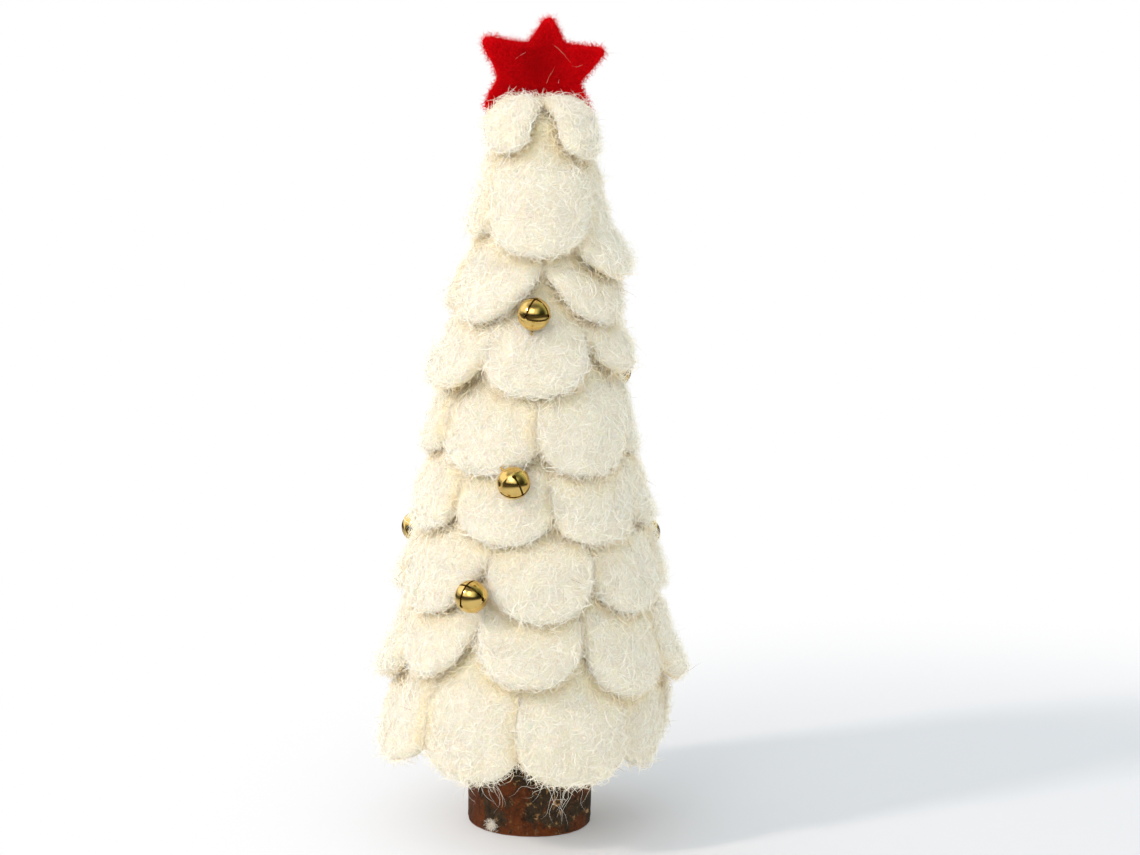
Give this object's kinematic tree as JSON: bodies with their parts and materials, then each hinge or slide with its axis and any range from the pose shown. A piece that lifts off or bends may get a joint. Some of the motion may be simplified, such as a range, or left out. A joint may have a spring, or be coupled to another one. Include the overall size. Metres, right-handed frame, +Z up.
{
  "type": "felt christmas tree",
  "caption": "Table-top christmas tree of overlapping thick white wool-felt petals on a cone, with small brass jingle bells, a red felt star and a branch stub for a trunk.",
  "frame": {"origin": "centre of the trunk's flat foot", "axes": "+Z up, -Y towards the front of the tree, +X to the viewer's right"},
  "size_m": [0.0924, 0.0912, 0.2494],
  "materials": {
    "felt": "matte",
    "red_felt": "matte",
    "foam": "matte",
    "bark": "matte",
    "wood": "satin",
    "brass": "gloss",
    "steel": "satin",
    "thread": "matte"
  },
  "bodies": {
    "tree": {"trunk_log": "bark", "trunk_dowel": "wood", "base_disc": "felt", "foam_core": "foam", "petal_row1_1": "felt", "petal_row1_2": "felt", "petals_row1_rear": "felt", "petal_row2_1": "felt", "petals_row2_rear": "felt", "petal_row3_1": "felt", "petal_row3_2": "felt", "petals_row3_rear": "felt", "petal_row4_1": "felt", "petal_row4_2": "felt", "petal_row4_6": "felt", "petals_row4_rear": "felt", "petal_row5_1": "felt", "petal_row5_2": "felt", "petals_row5_rear": "felt", "petal_row6_1": "felt", "petal_row6_2": "felt", "petals_row6_rear": "felt", "petal_row7_1": "felt", "petal_row7_2": "felt", "petal_row7_7": "felt", "petals_row7_rear": "felt", "petal_row8_1": "felt", "petal_row8_2": "felt", "petal_row8_8": "felt", "petals_row8_rear": "felt", "petal_row9_1": "felt", "petal_row9_8": "felt", "petals_row9_rear": "felt", "star": "red_felt", "star_pin": "wood", "bell1_thread": "thread", "bell2_thread": "thread", "bell3_thread": "thread", "bell4_thread": "thread", "bell5_thread": "thread", "bell6_thread": "thread", "bell7_thread": "thread", "bell8_thread": "thread"},
    "bell1": {"bell1_shell": "brass"},
    "bell1_ball": {"bell1_ball": "steel"},
    "bell2": {"bell2_shell": "brass"},
    "bell2_ball": {"bell2_ball": "steel"},
    "bell3": {"bell3_shell": "brass"},
    "bell3_ball": {"bell3_ball": "steel"},
    "bell4": {"bell4_shell": "brass"},
    "bell4_ball": {"bell4_ball": "steel"},
    "bell5": {"bell5_shell": "brass"},
    "bell5_ball": {"bell5_ball": "steel"},
    "bell6": {"bell6_shell": "brass"},
    "bell6_ball": {"bell6_ball": "steel"},
    "bell7": {"bell7_shell": "brass"},
    "bell7_ball": {"bell7_ball": "steel"},
    "bell8": {"bell8_shell": "brass"},
    "bell8_ball": {"bell8_ball": "steel"}
  },
  "joints": [
    {"name": "bell1_swing", "type": "hinge", "parent": "tree", "child": "bell1", "pos_m": [-0.00129, -0.02515, 0.15819], "axis": [0.9936, -0.0456, -0.1033], "range_deg": [0, 80]},
    {"name": "bell1_ball_rattle", "type": "slide", "parent": "bell1", "child": "bell1_ball", "axis": [0, 0, 1], "range_m": [0, 0.0042]},
    {"name": "bell2_swing", "type": "hinge", "parent": "tree", "child": "bell2", "pos_m": [0.02132, 0.01988, 0.14095], "axis": [0.682, -0.7314, 0], "range_deg": [0, 45]},
    {"name": "bell2_ball_rattle", "type": "slide", "parent": "bell2", "child": "bell2_ball", "axis": [0, 0, 1], "range_m": [0, 0.0042]},
    {"name": "bell3_swing", "type": "hinge", "parent": "tree", "child": "bell3", "pos_m": [-0.02396, 0.01616, 0.14186], "axis": [0.5592, 0.829, 0], "range_deg": [0, 35]},
    {"name": "bell3_ball_rattle", "type": "slide", "parent": "bell3", "child": "bell3_ball", "axis": [0, 0, 1], "range_m": [0, 0.0042]},
    {"name": "bell4_swing", "type": "hinge", "parent": "tree", "child": "bell4", "pos_m": [-0.00922, -0.03298, 0.11816], "axis": [-0.7154, 0.0093, -0.6987], "range_deg": [0, 60]},
    {"name": "bell4_ball_rattle", "type": "slide", "parent": "bell4", "child": "bell4_ball", "axis": [0, 0, 1], "range_m": [0, 0.0042]},
    {"name": "bell5_swing", "type": "hinge", "parent": "tree", "child": "bell5", "pos_m": [-0.03308, 0.01664, 0.09123], "axis": [0.5017, 0.7963, 0.3379], "range_deg": [0, 60]},
    {"name": "bell5_ball_rattle", "type": "slide", "parent": "bell5", "child": "bell5_ball", "axis": [0, 0, 1], "range_m": [0, 0.0042]},
    {"name": "bell6_swing", "type": "hinge", "parent": "tree", "child": "bell6", "pos_m": [0.03096, 0.02089, 0.08983], "axis": [0.5592, -0.829, 0], "range_deg": [0, 60]},
    {"name": "bell6_ball_rattle", "type": "slide", "parent": "bell6", "child": "bell6_ball", "axis": [0, 0, 1], "range_m": [0, 0.0042]},
    {"name": "bell7_swing", "type": "hinge", "parent": "tree", "child": "bell7", "pos_m": [-0.0165, -0.03619, 0.07653], "axis": [0.9099, -0.4116, 0.0517], "range_deg": [0, 80]},
    {"name": "bell7_ball_rattle", "type": "slide", "parent": "bell7", "child": "bell7_ball", "axis": [0, 0, 1], "range_m": [0, 0.0042]},
    {"name": "bell8_swing", "type": "hinge", "parent": "tree", "child": "bell8", "pos_m": [0.00058, 0.03265, 0.11917], "axis": [0.9651, 0.0567, -0.2557], "range_deg": [0, 60]},
    {"name": "bell8_ball_rattle", "type": "slide", "parent": "bell8", "child": "bell8_ball", "axis": [0, 0, 1], "range_m": [0, 0.0042]}
  ]
}
